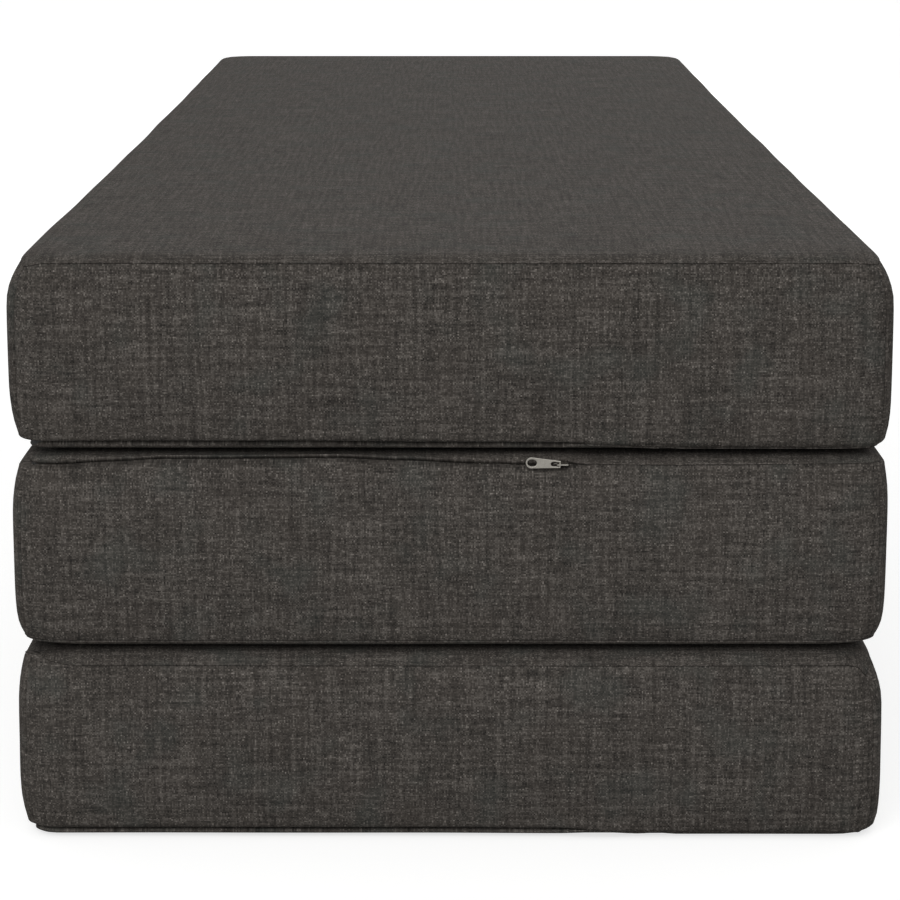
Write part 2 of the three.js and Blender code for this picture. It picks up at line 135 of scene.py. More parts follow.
# The camera sees the sky as white paper, also in gloss and through glass
shown = 0.0
for ray in ("Is Camera Ray", "Is Glossy Ray", "Is Transmission Ray"):
    either = add_node(world, "ShaderNodeMath", {0: shown, 1: seen.outputs[ray]}, operation="MAXIMUM")
    shown = either.outputs[0]
sky_light = add_node(world, "ShaderNodeBackground", {"Color": (1, 1, 1, 1), "Strength": SKY_STRENGTH})
sky_seen = add_node(world, "ShaderNodeBackground", {"Color": (1, 1, 1, 1), "Strength": PAPER_WHITE})
sky = add_node(
    world, "ShaderNodeMixShader", {0: shown, 1: sky_light.outputs[0], 2: sky_seen.outputs[0]}
)
add_node(world, "ShaderNodeOutputWorld", {"Surface": sky.outputs[0]})
bpy.context.scene.world = world

white_floor, floor_shader = new_material("matt_white_floor")
floor_seen = add_node(white_floor, "ShaderNodeLightPath")
floor_glow = add_node(
    white_floor,
    "ShaderNodeMath",
    {0: floor_seen.outputs["Is Camera Ray"], 1: FLOOR_GLOW},
    operation="MULTIPLY",
)
feed(white_floor, floor_shader, {
    "Base Color": linear(FLOOR_WHITE),
    "Roughness": 0.9,
    "Emission Color": (1, 1, 1, 1),
    "Emission Strength": floor_glow.outputs[0],
})
floor_form = bmesh.new()
bmesh.ops.create_grid(floor_form, x_segments=1, y_segments=1, size=FLOOR_SIZE / 2)
new_object(floor_form, "floor", white_floor)


def soft_lamp(name, place, aim, watts):
    """A wide square lamp at a place, turned to face a point."""
    data = bpy.data.lights.new(name, "AREA")
    data.size = LAMP_SIZE
    data.energy = watts
    lamp = bpy.data.objects.new(name, data)
    lamp.location = place
    lamp.rotation_euler = (Vector(aim) - Vector(place)).to_track_quat("-Z", "Y").to_euler()
    bpy.context.collection.objects.link(lamp)


soft_lamp("front_lamp", (-1.2, -6.0, 3.3), (0, -0.8, 0.2), FRONT_WATTS)
soft_lamp("rear_lamp", (1.6, 5.2, 2.2), (0, 0.5, 0.3), REAR_WATTS)


# Cover cloth. Linen-look polyester, plain woven from uneven heather yarns: near-black warm grey
# with paler slubs, dark flecks and faint greenish patches, and no shine. The yarns are drawn at
# about 1.1 mm, a little coarser than the real ones, so that they show at this size.
YARN_PITCH = 0.00115
YARN_RUN = 0.0065  # how far a yarn keeps its shade along its own length
SLUB_RUN = 0.011
DRIFT_PER_METRE = 38.0  # waves of about 26 mm
DRIFT_YARNS = (1.6, 1.6, 0)
YARN_RELIEF = 0.00025
PATCH_SIZE = 0.045
STREAK_RUN = 0.07  # how far a bundle of yarns keeps its shade
STREAK_WIDTH = 0.0034
CLOTH_DARK = "#282624"
CLOTH_MID = "#47433f"
CLOTH_PALE = "#6b6661"
CLOTH_GREEN = "#434946"
CLOTH_BROWN = "#4e4742"

linen, linen_shader = new_material("woven_linen_look_polyester")
weave_map = add_node(linen, "ShaderNodeUVMap", uv_map="weave")
yarn_grid = add_node(
    linen,
    "ShaderNodeVectorMath",
    {0: weave_map.outputs[0], 1: (1 / YARN_PITCH, 1 / YARN_PITCH, 1)},
    operation="MULTIPLY",
)
# A slow drift, so that the yarns don't run as straight as ruled lines
drift = add_node(
    linen,
    "ShaderNodeTexNoise",
    {"Vector": weave_map.outputs[0], "Scale": DRIFT_PER_METRE, "Detail": 1.0},
    noise_dimensions="2D",
)
drift_small = add_node(
    linen, "ShaderNodeVectorMath", {0: drift.outputs["Color"], 1: DRIFT_YARNS}, operation="MULTIPLY"
)
yarn_place = add_node(
    linen, "ShaderNodeVectorMath", {0: yarn_grid.outputs[0], 1: drift_small.outputs[0]}, operation="ADD"
)
yarn_number = add_node(linen, "ShaderNodeVectorMath", {0: yarn_place.outputs[0]}, operation="FLOOR")
number_axes = add_node(linen, "ShaderNodeSeparateXYZ", {0: yarn_number.outputs[0]})
place_axes = add_node(linen, "ShaderNodeSeparateXYZ", {0: yarn_place.outputs[0]})


def yarn_shade(number, along, run):
    """Each yarn's own shade, which changes slowly along the yarn and not at all across it."""
    stretched = add_node(linen, "ShaderNodeMath", {0: along, 1: YARN_PITCH / run}, operation="MULTIPLY")
    apart = add_node(linen, "ShaderNodeMath", {0: number, 1: 7.31}, operation="MULTIPLY")
    place = add_node(linen, "ShaderNodeCombineXYZ", {0: apart.outputs[0], 1: stretched.outputs[0]})
    return add_node(
        linen,
        "ShaderNodeTexNoise",
        {"Vector": place.outputs[0], "Scale": 1.0, "Detail": 2.0, "Roughness": 0.75},
        noise_dimensions="2D",
    ).outputs["Fac"]


upright_shade = yarn_shade(number_axes.outputs[0], place_axes.outputs[1], YARN_RUN)
level_shade = yarn_shade(number_axes.outputs[1], place_axes.outputs[0], SLUB_RUN)
number_sum = add_node(
    linen, "ShaderNodeMath", {0: number_axes.outputs[0], 1: number_axes.outputs[1]}, operation="ADD"
)
upright_on_top = add_node(
    linen, "ShaderNodeMath", {0: number_sum.outputs[0], 1: 2.0}, operation="FLOORED_MODULO"
)
yarn_on_top = add_node(
    linen,
    "ShaderNodeMix",
    {"Factor": upright_on_top.outputs[0], "A": level_shade, "B": upright_shade},
    data_type="FLOAT",
)
streaks = []
for across, up in ((STREAK_WIDTH, STREAK_RUN), (STREAK_RUN, STREAK_WIDTH)):
    streak_place = add_node(
        linen,
        "ShaderNodeVectorMath",
        {0: weave_map.outputs[0], 1: (1 / across, 1 / up, 1)},
        operation="MULTIPLY",
    )
    streak = add_node(
        linen,
        "ShaderNodeTexNoise",
        {"Vector": streak_place.outputs[0], "Scale": 1.0, "Detail": 2.0},
        noise_dimensions="2D",
    )
    streaks.append(streak.outputs["Fac"])
all_streaks = add_node(linen, "ShaderNodeMath", {0: streaks[0], 1: streaks[1]}, operation="ADD")
streaked_shade = add_node(
    linen,
    "ShaderNodeMath",
    {0: all_streaks.outputs[0], 1: 0.40, 2: yarn_on_top.outputs["Result"]},
    operation="MULTIPLY_ADD",
)
# Where yarns cross, single floats catch the light more or less than their neighbours
float_tone = add_node(
    linen, "ShaderNodeTexWhiteNoise", {"Vector": yarn_number.outputs[0]}, noise_dimensions="2D"
)
float_shade = add_node(
    linen,
    "ShaderNodeMath",
    {0: float_tone.outputs["Value"], 1: 0.26, 2: streaked_shade.outputs[0]},
    operation="MULTIPLY_ADD",
)
cloth_shade = add_node(
    linen, "ShaderNodeMapRange", {"Value": float_shade.outputs[0], "From Min": 0.68, "From Max": 1.38}
)
yarn_colour = add_node(linen, "ShaderNodeValToRGB", {0: cloth_shade.outputs[0]})
stops = yarn_colour.color_ramp.elements
stops[0].position, stops[0].color = 0.0, linear(CLOTH_DARK)
stops[1].position, stops[1].color = 1.0, linear(CLOTH_PALE)
stops.new(0.5).color = linear(CLOTH_MID)

patches = add_node(
    linen,
    "ShaderNodeTexNoise",
    {"Vector": weave_map.outputs[0], "Scale": 1 / PATCH_SIZE, "Detail": 2.0},
    noise_dimensions="2D",
)
tinted = yarn_colour.outputs[0]
for tint, start, full, most in ((CLOTH_GREEN, 0.54, 0.74, 0.24), (CLOTH_BROWN, 0.48, 0.30, 0.14)):
    tint_share = add_node(
        linen,
        "ShaderNodeMapRange",
        {"Value": patches.outputs["Fac"], "From Min": start, "From Max": full, "To Max": most},
    )
    tinting = add_node(
        linen,
        "ShaderNodeMix",
        {"Factor": tint_share.outputs[0], "A": tinted, "B": linear(tint)},
        data_type="RGBA",
    )
    tinted = tinting.outputs["Result"]

# Each float stands up in the middle and dips where it goes under its neighbours
fraction = add_node(linen, "ShaderNodeVectorMath", {0: yarn_place.outputs[0]}, operation="FRACTION")
from_middle = add_node(
    linen, "ShaderNodeVectorMath", {0: fraction.outputs[0], 1: (0.5, 0.5, 0)}, operation="DISTANCE"
)
float_height = add_node(
    linen,
    "ShaderNodeMapRange",
    {"Value": from_middle.outputs["Value"], "From Max": 0.7, "To Min": 1.0, "To Max": 0.0},
)
yarn_height = add_node(
    linen,
    "ShaderNodeMath",
    {0: float_height.outputs[0], 1: yarn_on_top.outputs["Result"]},
    operation="ADD",
)
weave_bump = add_node(
    linen, "ShaderNodeBump", {"Height": yarn_height.outputs[0], "Distance": YARN_RELIEF, "Strength": 0.6}
)
hollow_shade = add_node(
    linen, "ShaderNodeMapRange", {"Value": float_height.outputs[0], "To Min": 0.62, "To Max": 1.1}
)
slub_dot = add_node(
    linen, "ShaderNodeMapRange", {"Value": float_tone.outputs["Value"], "From Min": 0.93, "To Max": 0.5}
)
float_light = add_node(
    linen, "ShaderNodeMath", {0: hollow_shade.outputs[0], 1: slub_dot.outputs[0]}, operation="ADD"
)
woven_colour = add_node(
    linen, "ShaderNodeVectorMath", {0: tinted, "Scale": float_light.outputs[0]}, operation="SCALE"
)
feed(linen, linen_shader, {
    "Base Color": woven_colour.outputs[0],
    "Normal": weave_bump.outputs[0],
    "Roughness": 0.92,
    "Specular IOR Level": 0.08,
})


# Covers. Each panel's cover is six pieces of cloth sewn together: a sleeping face turned over
# the edge, four walls that meet at the corners, and an underside face with a rolled rim. The
# seams turn inwards, and a hidden zip opens three sides between the walls and the underside.
HALF_WIDTH, HALF_LENGTH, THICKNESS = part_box("bottom_sleeping_cover")[1]
CORNER_RADIUS = 0.025
CLOTH_THICKNESS = 0.001
CROWN = 0.002
CROWN_REACH = 0.12
CORNER_REACH = 0.05  # how far from a corner its softness shows
CORNER_DROP = 0.003  # of the sleeping face at its corners
CORNER_INSET = 0.002  # how much further in the seam lies there
ROLL_TURN = math.radians(68)  # how far round the sleeping face turns before its seam
SEAM_DEPTH = 0.0017
SEAM_LIP = 0.0007  # from the seam to where the cloth turns in
FLAP = 0.003  # seam allowance that shows down in the seam
SEAM_PARTING = 0.0002  # between each of two sewn pieces and the seam's middle
PINCH_REACH = 1.6 * SEAM_LIP  # how near a corner's seam draws the walls in
BULGE = 0.004
SIDE_DRAW_IN = 0.003
SIDE_SWAY = 0.0010  # how far a side wall wanders in and out, and over what length
SIDE_SWAY_RUN = 0.19
END_SWAY = 0.0008
END_SWAY_RUN = 0.17
EDGE_RIPPLE = 0.0007  # how far a long edge wanders up and down
EDGE_RIPPLE_RUN = 0.16
SWAY_REACH = 0.06  # how far in from its edge a face moves with it
FOLD_CLEARANCE = 0.0003  # between a side wall and the fold's line, past which its neighbour opens
SIDE_EASE = 0.0012  # how gently a wall is held back there
HEM_TUCK = 0.008
HEM_REACH = 0.006
HEM_HEIGHT = 0.005
TUCK_LIFT = 0.0001
HEM_DRAW_IN = 0.002  # how far the wall draws in towards its hem
HEM_DRAW_SHARE = 0.3  # share of the wall over which it does
UNDER_FLAT = 0.0180  # how far in the underside's rim runs before the flat starts
UNDER_LIP = 0.0018
UNDER_LIP_STEPS = ((0.0011, 0.0), (0.00035, 0.3), (0.0, 1.0))  # how far back, and share of its drop
RIM_LIFT = 0.002
PLAIN_ROLL = 0.010
ZIP_END_X = 0.095
ZIP_END_FADE = 0.006
ZIP_WANDER = 0.0005
ZIP_WANDER_RUN = 0.12
END_START_SHARE = 0.97  # of a panel's half length, where the front and rear ends' own lines start
END_FADE_SHARE = 0.025
SLIDER_X = abs(sum(corner[0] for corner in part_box("middle_zip_slider"))) / 2
SLIDER_GAPE = 0.0018  # how much wider the zip's slot opens round its slider
SLIDER_GAPE_REACH = 0.018

# A cover is cut a little larger than its foam and is held only along its seams, so its walls stand
# out unevenly. A cloth simulation of the plain walls, pinned at the seams and blown out, finds how.
FILL_FACE = 0.010
FILL_PRESSURE = 2
FILL_SLACK_SHARE = 0.002
FILL_STIFFNESS = 20
FILL_BENDING = 2
FILL_EASE = 0.001  # it starts this much smaller
FILL_UNEVEN = 0.0008
FILL_UNEVEN_RUNS = (0.11, 0.045)
FILL_FRAMES = 20
FILL_CAP_OUT = 0.0043
FILL_CAP_IN = 0.0005
FILL_CORNER = 0.08  # foam holds the walls out evenly this near a corner

# How finely the cloth is cut into faces
STRAIGHT_STEP = 0.010
CORNER_STEPS_M = (0.012, 0.008, 0.005, 0.003, 0.0016, 0.0007, 0)  # from the corner seam, outwards
ROLL_STEPS = 6
GROOVE_SHARES = ((0, 1.0), (0.11, 0.45), (0.41, 0.15), (1, 0.0))  # of its depth and of its lip
WALL_SHARES = (
    0.0, 0.02, 0.05, 0.09, 0.14, 0.2, 0.27, 0.35, 0.43, 0.51, 0.59, 0.67, 0.74, 0.81, 0.87, 0.93, 1.0
)
HEM_STEPS = 4
RIM_STEPS = 5

# The three panels from the floor up, as the photograph shows each. Heights are from the panel's
# own underside. The zip's line wanders: each pair is a place from left to right along the front
# end, and how high the line lies there. Left and right are the folded stack's.
PANELS = {
    "bottom": {
        "floor": 0.0,
        "turned": False,
        "edge_roll": 0.021,  # how far in the sleeping face starts to turn over
        "seam_drop": 0.0125,
        "seam_inset": {"left": 0.0010, "right": 0.0060, "end": 0.0010},
        "seam_corner": {"left": 0.0078, "right": -0.0100},  # how much higher it lies at a corner
        "corner_turn": {"left": 0.045, "right": 0.018},  # how near the corner that starts
        "round_reach": 0.045,  # how far below its seam a wall still curves in
        "under_recess": 0.0065,
        "slot_back": 0.0125,  # how far in the cloth of the zip's slot reaches
        "zip_slot": 0.0018,
        "plain_line": ((0.105, 0.0080), (0.17, 0.0035)),
        "plain_groove": 0.35,  # share of a seam's depth, where the zip has ended
        "front_line": ((-0.334, 0.0090), (-0.30, 0.0084), (0.334, 0.0084)),
        "rear_line": 0.0084,
        "side_line": 0.0070,
        "lean": {"left": 0.0020, "right": 0.0020},
        "seed": 11.0,
    },
    "middle": {
        "floor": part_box("middle_sleeping_cover")[0][2],
        "turned": True,  # sleeping side down
        "edge_roll": 0.013,
        "seam_drop": 0.0070,
        "seam_inset": {"left": 0.0025, "right": 0.0025, "end": 0.0020},
        "seam_corner": {"left": 0.0, "right": 0.0},
        "corner_turn": {"left": 0.045, "right": 0.045},
        "round_reach": 0.018,
        "under_recess": 0.0085,
        "slot_back": 0.0110,
        "zip_slot": 0.0030,
        "plain_line": ((-0.12, 0.0077), (0.0, 0.0077)),
        "plain_groove": 1.0,
        "front_line": (
            (-0.334, 0.0104), (-0.295, 0.0104), (-0.262, 0.0086), (-0.215, 0.0064), (-0.090, 0.0060),
            (-0.035, 0.0080), (0.030, 0.0102), (0.060, 0.0112), (0.334, 0.0112),
        ),
        "rear_line": 0.0084,
        "side_line": 0.0084,
        "lean": {"left": 0.0, "right": 0.0005},
        "seed": 23.0,
    },
    "top": {
        "floor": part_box("top_underside_cover")[0][2],
        "turned": False,
        "edge_roll": 0.021,
        "seam_drop": 0.0080,
        "seam_inset": {"left": 0.0075, "right": 0.0072, "end": 0.0028},
        "seam_corner": {"left": -0.0034, "right": -0.0020},
        "corner_turn": {"left": 0.028, "right": 0.028},
        "round_reach": 0.032,
        "under_recess": 0.0112,
        "slot_back": 0.0130,
        "zip_slot": 0.0022,
        "plain_line": ((0.105, 0.0078), (0.17, 0.0045)),
        "plain_groove": 0.35,
        "front_line": ((-0.334, 0.0094), (0.1, 0.0082), (0.334, 0.0082)),
        "rear_line": 0.0086,
        "side_line": 0.0084,
        "lean": {"left": 0.0, "right": 0.0010},
        "seed": 37.0,
    },
}


def joint_place(name):
    """The point that a joint's axis goes through."""
    return next(joint["pos_m"] for joint in frame["joints"] if joint["name"] == name)


SIDE_LIMIT = abs(joint_place("middle_fold")[0]) - FOLD_CLEARANCE


def smooth(share):
    """A share held between 0 and 1, with a gentle start and end."""
    share = min(max(share, 0.0), 1.0)
    return share * share * (3 - 2 * share)


def mixed(a, b, share):
    """The value that lies a share of the way from a to b."""
    return a + (b - a) * share


def wave(place, wavelength, seed):
    """A smooth random value between about -1 and 1, the same on each run."""
    return 1.6 * noise.noise(Vector((place / wavelength, seed, 0.37 * seed)))


def line_height(line, x):
    """How high a panel's wandering line lies at a place along it."""
    for (x0, h0), (x1, h1) in zip(line, line[1:]):
        if x <= x1:
            return mixed(h0, h1, smooth((x - x0) / (x1 - x0)))
    return line[-1][1]


def filled_walls(seed):
    """Simulates the four plain walls of one filled cover, and returns how far out they stand."""
    form = bmesh.new()
    bmesh.ops.create_cube(form, size=1)
    level_faces = [face for face in form.faces if abs(face.normal.z) > 0.5]
    bmesh.ops.delete(form, geom=level_faces, context="FACES_ONLY")
    size = Vector((2 * HALF_WIDTH, 2 * HALF_LENGTH, THICKNESS))
    bmesh.ops.scale(form, verts=form.verts[:], vec=size)
    bmesh.ops.translate(form, verts=form.verts[:], vec=(0, 0, THICKNESS / 2))
    for axis in range(3):
        runs = [
            edge
            for edge in form.edges
            if abs(edge.verts[0].co[axis] - edge.verts[1].co[axis]) > size[axis] / 2
        ]
        bmesh.ops.subdivide_edges(form, edges=runs, cuts=round(size[axis] / FILL_FACE) - 1)
    bmesh.ops.recalc_face_normals(form, faces=form.faces[:])
    flat = [vert.co.copy() for vert in form.verts]
    faces = [[vert.index for vert in face.verts] for face in form.faces]
    pinned = []
    for vert in form.verts:
        x, y, z = vert.co
        share = 1 - z / THICKNESS
        on_side = HALF_WIDTH - abs(x) < FILL_FACE / 4
        on_end = HALF_LENGTH - abs(y) < FILL_FACE / 4
        if min(share, 1 - share) < 0.01 or (on_side and on_end):
            pinned.append(vert.index)
            continue
        uneven = wave(x + 1.3 * y + 0.6 * z, FILL_UNEVEN_RUNS[0], seed)
        uneven += wave(y - 0.7 * x - 1.1 * z, FILL_UNEVEN_RUNS[1], seed + 3)
        start = FILL_UNEVEN * uneven - FILL_EASE * (1 - (2 * share - 1) ** 4)
        out = (math.copysign(1, x), 0, 0) if on_side else (0, math.copysign(1, y), 0)
        vert.co += start * Vector(out)
    mesh = bpy.data.meshes.new("walls_to_fill")
    form.to_mesh(mesh)
    form.free()
    walls = bpy.data.objects.new("walls_to_fill", mesh)
    bpy.context.collection.objects.link(walls)
    walls.vertex_groups.new(name="seams").add(pinned, 1.0, "REPLACE")
    cloth = walls.modifiers.new("filling", "CLOTH")
    cloth.collision_settings.use_collision = False
    cloth.settings.quality = 6
    cloth.settings.tension_stiffness = FILL_STIFFNESS
    cloth.settings.compression_stiffness = FILL_STIFFNESS
    cloth.settings.shear_stiffness = FILL_STIFFNESS / 2
    cloth.settings.bending_stiffness = FILL_BENDING
    cloth.settings.use_pressure = True
    cloth.settings.uniform_pressure_force = FILL_PRESSURE
    cloth.settings.shrink_min = -FILL_SLACK_SHARE
    cloth.settings.vertex_group_mass = "seams"
    cloth.settings.effector_weights.gravity = 0
    for frame_number in range(1, FILL_FRAMES + 1):
        bpy.context.scene.frame_set(frame_number)
    filled = walls.evaluated_get(bpy.context.evaluated_depsgraph_get()).to_mesh()
    moves = [vert.co - start for vert, start in zip(filled.vertices, flat)]
    bpy.data.objects.remove(walls)
    bpy.data.meshes.remove(mesh)
    bpy.context.scene.frame_set(1)
    tree = BVHTree.FromPolygons(flat, faces)

    def stands_out(here, share):
        x, y = here["place"]
        spot, _, index, _ = tree.find_nearest((x, y, THICKNESS * (1 - share)))
        weights = poly_3d_calc([flat[i] for i in faces[index]], spot)
        move = sum((weight * moves[i] for weight, i in zip(weights, faces[index])), Vector())
        return min(max(move.dot(here["out"]), -FILL_CAP_IN), FILL_CAP_OUT)

    return stands_out


def grid_places(half):
    """Places across a face: the corner's share, and the straight part's place beside it."""
    reference = CORNER_RADIUS + BULGE
    turns = [math.pi / 4 - step / reference for step in CORNER_STEPS_M]
    corner = [math.sqrt(2) * math.sin(turn) for turn in turns]
    straight = half - CORNER_RADIUS
    count = round(2 * straight / STRAIGHT_STEP)
    places = [(-straight, -share) for share in reversed(corner)]
    places += [(straight * (2 * i / count - 1), 0.0) for i in range(count + 1)]
    return places + [(straight, share) for share in corner]


ACROSS = grid_places(HALF_WIDTH)
ALONG = grid_places(HALF_LENGTH)

# The rows of cloth from the sleeping face's edge down the wall to the underside's flat
ROWS = [("roll", (i + 1) / ROLL_STEPS) for i in range(ROLL_STEPS)]
ROWS += [("groove", i) for i in (1, 2, 3)]
SEAM_ROW = len(ROWS)
ROWS += [("wall_groove", i) for i in (2, 1)]
ROWS += [("wall", share) for share in WALL_SHARES]
ROWS += [("hem", (i + 1) / HEM_STEPS) for i in range(HEM_STEPS)]
ROWS += [("tuck", 1), ("line", 0)]
LINE_ROW = len(ROWS)
ROWS += [("rim_lip", i) for i in (0, 1, 2)]
ROWS += [("rim", (i + 1) / RIM_STEPS) for i in range(RIM_STEPS)]
UNDER_ROW = len(ROWS)


def blank_cover():
    """The closed skin of a panel, in connected rows; each point keeps its row and outline place."""
    form = bmesh.new()
    straight_of = form.verts.layers.float_vector.new("straight")
    corner_of = form.verts.layers.float_vector.new("corner")
    row_of = form.verts.layers.int.new("row")
    bmesh.ops.create_grid(form, x_segments=len(ACROSS) - 1, y_segments=len(ALONG) - 1, size=1)
    for vert in form.verts:
        straight_x, u = ACROSS[round((vert.co.x + 1) / 2 * (len(ACROSS) - 1))]
        straight_y, v = ALONG[round((vert.co.y + 1) / 2 * (len(ALONG) - 1))]
        vert[straight_of] = (straight_x, straight_y, 0)
        vert[corner_of] = (u * math.sqrt(1 - v * v / 2), v * math.sqrt(1 - u * u / 2), 0)
    underside = bmesh.ops.duplicate(form, geom=form.verts[:] + form.edges[:] + form.faces[:])
    under_faces = [item for item in underside["geom"] if isinstance(item, bmesh.types.BMFace)]
    for item in underside["geom"]:
        if isinstance(item, bmesh.types.BMVert):
            item[row_of] = UNDER_ROW
            item.co.z = -UNDER_ROW
    bmesh.ops.reverse_faces(form, faces=under_faces)
    rim = [edge for edge in form.edges if edge.is_boundary and edge.verts[0][row_of] == 0]
    for row in range(1, UNDER_ROW + 1):
        made = bmesh.ops.extrude_edge_only(form, edges=rim)["geom"]
        new_verts = [item for item in made if isinstance(item, bmesh.types.BMVert)]
        for vert in new_verts:
            vert[row_of] = row
            vert.co.z = -row
        rim = [item for item in made if isinstance(item, bmesh.types.BMEdge) and item.is_boundary]
    # The rows lie whole units apart here, where a much finer distance misses some pairs
    bmesh.ops.remove_doubles(form, verts=form.verts[:], dist=1e-4)
    bmesh.ops.recalc_face_normals(form, faces=form.faces[:])
    return form


def corner_softness(x, y):
    """1 at a panel's corner, fading to 0 along its edges and over its face."""
    away = math.hypot(HALF_WIDTH - abs(x), HALF_LENGTH - abs(y))
    return smooth(1 - away / CORNER_REACH)


def column_facts(panel, straight, corner):
    """What the section needs to know at one place on the outline."""
    x, y = (straight[i] + CORNER_RADIUS * corner[i] for i in (0, 1))
    stack_x = -x if panel["turned"] else x
    near_side = "left" if stack_x < 0 else "right"
    front_line = line_height(panel["front_line"], stack_x)
    near_front = smooth((-y / HALF_LENGTH - END_START_SHARE) / END_FADE_SHARE)
    near_rear = smooth((y / HALF_LENGTH - END_START_SHARE) / END_FADE_SHARE)
    gape = smooth(1 - abs(stack_x - SLIDER_X) / SLIDER_GAPE_REACH)
    gape *= near_front if panel["turned"] else near_rear
    zip_line = mixed(panel["side_line"], front_line, near_front)
    zip_line = mixed(zip_line, panel["rear_line"], near_rear)
    wander = ZIP_WANDER * wave(x + 1.7 * y, ZIP_WANDER_RUN, panel["seed"] + 5)
    away = math.acos(min(1.0, (abs(corner[0]) + abs(corner[1])) / math.sqrt(2)))
    from_corner = away * (CORNER_RADIUS + BULGE)
    straight_reach = HALF_WIDTH + HALF_LENGTH - 2 * CORNER_RADIUS
    to_corner = from_corner + straight_reach - abs(straight[0]) - abs(straight[1])
    cornered = smooth(1 - to_corner / panel["corner_turn"][near_side])
    soft = corner_softness(x, y)
    inset = panel["seam_inset"]
    seam_inset = inset[near_side] * corner[0] ** 2 + inset["end"] * corner[1] ** 2
    return {
        **panel,
        "in_zip": smooth(0.5 + (ZIP_END_X - stack_x) / (2 * ZIP_END_FADE)),
        "zip_slot": panel["zip_slot"] + SLIDER_GAPE * gape,
        "zip_line": zip_line + wander,
        "plain_line": line_height(panel["plain_line"], stack_x) + wander,
        "seam": THICKNESS - panel["seam_drop"] + panel["seam_corner"][near_side] * cornered,
        "edge": THICKNESS - CROWN - CORNER_DROP * soft,
        "seam_inset": seam_inset + CORNER_INSET * soft,
        "lean": panel["lean"][near_side] * corner[0] ** 2,
        "from_corner": from_corner,
        "to_corner": to_corner,
        "place": (x, y),
        "out": corner,
    }


def under_curve(z):
    """How far a plain lower edge curves in under the panel at a height."""
    drop = min(max((RIM_LIFT + PLAIN_ROLL - z) / PLAIN_ROLL, 0.0), 1.0)
    return -(UNDER_FLAT - CLOTH_THICKNESS) * (1 - math.sqrt(1 - drop * drop))


def section(kind, share, here):
    """The cover's section at one place: how far out from the seam outline, and how high."""
    seam = here["seam"]
    if kind == "roll":
        turn = share * ROLL_TURN
        rise = here["edge"] - seam - SEAM_LIP
        run = here["edge_roll"] - here["seam_inset"]
        across = math.sin(turn) / math.sin(ROLL_TURN) - 1
        up = (math.cos(turn) - math.cos(ROLL_TURN)) / (1 - math.cos(ROLL_TURN))
        return run * across - here["seam_inset"], seam + SEAM_LIP + rise * up
    if kind in ("groove", "wall_groove"):
        depth_share, lip_share = GROOVE_SHARES[share]
        way = 1 if kind == "groove" else -1
        return -here["seam_inset"] - SEAM_DEPTH * depth_share, seam + way * SEAM_LIP * lip_share
    plain = plain_section(kind, share, here)
    zipped = zip_section(kind, share, here)
    return tuple(mixed(a, b, here["in_zip"]) for a, b in zip(plain, zipped))


def wall_swell(share, z, here):
    """How far the wall stands out, from its top seam at 0 to its hem at 1."""
    low = max(0.0, (share + HEM_DRAW_SHARE - 1) / HEM_DRAW_SHARE)
    close = max(0.0, 1 - (here["seam"] - z) / here["round_reach"])
    swell = BULGE * (1 - (2 * share - 1) ** 4)
    if here["filled"]:
        swell = mixed(swell, here["filled"](here, share), smooth(here["to_corner"] / FILL_CORNER))
    swell -= here["seam_inset"] * close * close
    return swell + here["lean"] * share * share - HEM_DRAW_IN * low * low * here["in_zip"]


def zip_section(kind, share, here):
    """The section where the zip opens: the wall's tucked hem, the slot and the underside's roll."""
    line = here["zip_line"]
    top, bottom = here["seam"] - SEAM_LIP, line + HEM_HEIGHT
    if kind == "wall":
        z = mixed(top, bottom, share)
        return wall_swell(share, z, here), z
    lean = here["lean"]
    turn = share * math.pi / 2
    if kind == "hem":
        return lean - HEM_TUCK + HEM_REACH * math.cos(turn), line + HEM_HEIGHT * (1 - math.sin(turn))
    if kind == "tuck":
        return lean - (HEM_TUCK + here["slot_back"]) / 2, line + TUCK_LIFT
    if kind == "line":
        return lean - here["slot_back"], line - here["zip_slot"] / 2
    rim_top = line - here["zip_slot"]
    if kind == "rim_lip":
        back, drop = UNDER_LIP_STEPS[share]
        return -here["under_recess"] - back, rim_top - drop * UNDER_LIP
    start = rim_top - UNDER_LIP
    across = (UNDER_FLAT - here["under_recess"]) * math.cos(turn) - UNDER_FLAT
    return across, start - (start - RIM_LIFT) * math.sin(turn)


def plain_section(kind, share, here):
    """The section where the cover is sewn shut: one curve down to the floor with a seam in it."""
    line = here["plain_line"]
    top, bottom = here["seam"] - SEAM_LIP, line + HEM_HEIGHT
    if kind == "wall":
        z = mixed(top, bottom, share)
        return wall_swell(share, z, here) + under_curve(z), z
    lean = here["lean"]
    if kind == "hem":
        z = mixed(bottom, line + SEAM_LIP, share)
        return lean + under_curve(z), z
    if kind in ("tuck", "line", "rim_lip"):
        step = {"tuck": 2, "line": 3, "rim_lip": 2 - share}[kind]
        depth_share, lip_share = GROOVE_SHARES[step]
        way = -1 if kind == "rim_lip" else 1
        z = line + way * SEAM_LIP * lip_share
        return lean + under_curve(z) - SEAM_DEPTH * depth_share * here["plain_groove"], z
    start = line - SEAM_LIP
    z = mixed(start, RIM_LIFT, math.sin(share * math.pi / 2))
    fade = 1 - share
    return lean * fade + mixed(under_curve(z), -UNDER_FLAT, share ** 3), z


